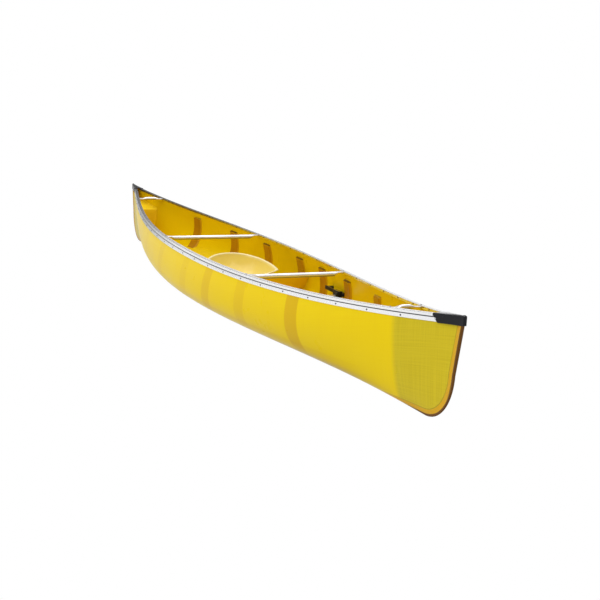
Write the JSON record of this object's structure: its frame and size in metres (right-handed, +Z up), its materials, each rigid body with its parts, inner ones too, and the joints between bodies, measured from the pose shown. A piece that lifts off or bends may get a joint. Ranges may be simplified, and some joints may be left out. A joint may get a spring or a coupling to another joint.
{
  "type": "canoe",
  "caption": "Open solo canoe: thin moulded hull with tumblehome, aluminium gunwales, thwarts and carrying handles, plastic deck caps, sliding bucket seat and adjustable foot brace.",
  "frame": {"origin": "on the centreline amidships, at the height of the flat of the bottom, where the boat stands on a level floor", "axes": "+X towards the bow, +Y to port, +Z up"},
  "size_m": [5.05, 0.7804, 0.4933],
  "materials": {
    "hull_laminate": "golden aramid cloth laminate under clear resin, gloss",
    "core_skin": "the same laminate over foam, darker and a little duller",
    "beam_laminate": "aramid laminate over foam, satin gloss",
    "gunwale_aluminium": "bright anodised extrusion, satin",
    "tube_aluminium": "drawn tube, satin",
    "rail_aluminium": "mill finish angle",
    "cap_plastic": "black moulded plastic, satin",
    "stainless": "stainless fasteners",
    "seat_gel": "tan gel coat, gloss",
    "black_fittings": "black nylon, satin"
  },
  "bodies": {
    "hull": {"hull_shell": "hull_laminate", "float_tank_bow": "hull_laminate", "float_tank_stern": "hull_laminate", "floor_core": "core_skin", "rib_1_port": "core_skin", "rib_1_starboard": "core_skin", "rib_2_port": "core_skin", "rib_2_starboard": "core_skin", "rib_3_port": "core_skin", "rib_3_starboard": "core_skin", "rib_4_port": "core_skin", "rib_4_starboard": "core_skin", "rib_5_port": "core_skin", "rib_5_starboard": "core_skin", "rib_6_port": "core_skin", "rib_6_starboard": "core_skin", "rib_7_port": "core_skin", "rib_7_starboard": "core_skin", "gunwale_port": "gunwale_aluminium", "gunwale_starboard": "gunwale_aluminium", "thwart_front": "tube_aluminium", "thwart_rear": "tube_aluminium", "handle_bow": "tube_aluminium", "handle_stern": "tube_aluminium", "seat_rail_port": "rail_aluminium", "seat_rail_starboard": "rail_aluminium", "deck_cap_bow": "cap_plastic", "deck_cap_stern": "cap_plastic", "thwart_front_bolt_port": "stainless", "thwart_front_bolt_starboard": "stainless", "thwart_rear_bolt_port": "stainless", "thwart_rear_bolt_starboard": "stainless", "handle_bow_bolt_port": "stainless", "handle_bow_bolt_starboard": "stainless", "handle_stern_bolt_port": "stainless", "handle_stern_bolt_starboard": "stainless", "cap_screw_bow_port": "stainless", "cap_screw_bow_starboard": "stainless", "cap_screw_stern_port": "stainless", "cap_screw_stern_starboard": "stainless", "seat_beam": "beam_laminate", "seat_riser": "beam_laminate", "foot_rail_port": "black_fittings", "foot_rail_starboard": "black_fittings", "foot_bracket_port_rear": "black_fittings", "foot_bracket_port_front": "black_fittings", "foot_bracket_starboard_rear": "black_fittings", "foot_bracket_starboard_front": "black_fittings"},
    "seat": {"seat_bucket": "seat_gel", "seat_saddle_port": "beam_laminate", "seat_saddle_starboard": "beam_laminate"},
    "foot_brace": {"foot_brace_tube": "tube_aluminium", "foot_block_port": "black_fittings", "foot_block_starboard": "black_fittings"},
    "seat_knob_port": {"seat_knob_port": "black_fittings"},
    "seat_knob_starboard": {"seat_knob_starboard": "black_fittings"},
    "foot_knob_port": {"foot_knob_port": "black_fittings"},
    "foot_knob_starboard": {"foot_knob_starboard": "black_fittings"}
  },
  "joints": [
    {"name": "seat_slide", "type": "slide", "parent": "hull", "child": "seat", "axis": [1, 0, 0], "range_m": [-0.065, 0.065]},
    {"name": "foot_brace_slide", "type": "slide", "parent": "hull", "child": "foot_brace", "axis": [1, 0, 0], "range_m": [-0.12, 0.018]},
    {"name": "seat_knob_port_turn", "type": "hinge", "parent": "seat", "child": "seat_knob_port", "pos_m": [0, 0.151, 0.15], "axis": [0, 0, 1], "range_deg": [0, 360]},
    {"name": "seat_knob_starboard_turn", "type": "hinge", "parent": "seat", "child": "seat_knob_starboard", "pos_m": [0, -0.151, 0.15], "axis": [0, 0, 1], "range_deg": [0, 360]},
    {"name": "foot_knob_port_turn", "type": "hinge", "parent": "foot_brace", "child": "foot_knob_port", "pos_m": [0.8112, 0.3, 0.2], "axis": [0, 1, 0], "range_deg": [0, 360]},
    {"name": "foot_knob_starboard_turn", "type": "hinge", "parent": "foot_brace", "child": "foot_knob_starboard", "pos_m": [0.8112, -0.3, 0.2], "axis": [0, -1, 0], "range_deg": [0, 360]}
  ]
}
